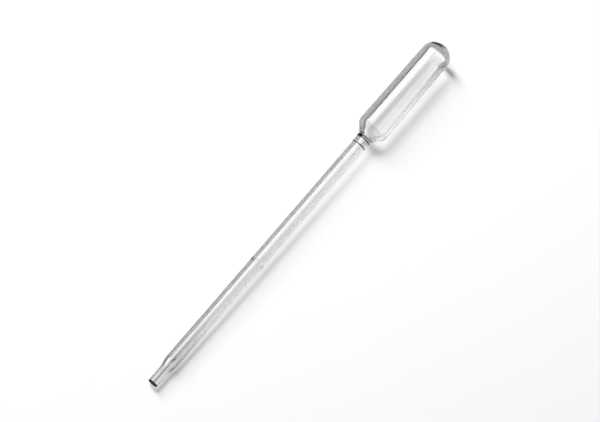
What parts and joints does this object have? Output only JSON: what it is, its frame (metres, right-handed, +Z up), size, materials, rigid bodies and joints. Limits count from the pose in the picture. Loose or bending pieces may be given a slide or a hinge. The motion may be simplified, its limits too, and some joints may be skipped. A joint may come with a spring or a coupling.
{
  "type": "dropper pipette",
  "caption": "Clear dropper pipette blown in one piece: fine straight tip, long stem with one graduation ring, ringed collar and a domed squeeze bulb.",
  "frame": {"origin": "middle of the box's underside, on the bench that the pipette lies on", "axes": "+X along the pipette from its tip to its bulb, +Z up from the bench, +Y across"},
  "size_m": [0.155, 0.0112, 0.0119],
  "materials": {
    "pipette": "clear, glossy low-density polyethylene, as blown"
  },
  "bodies": {
    "root": {"pipette": "pipette"}
  },
  "joints": []
}
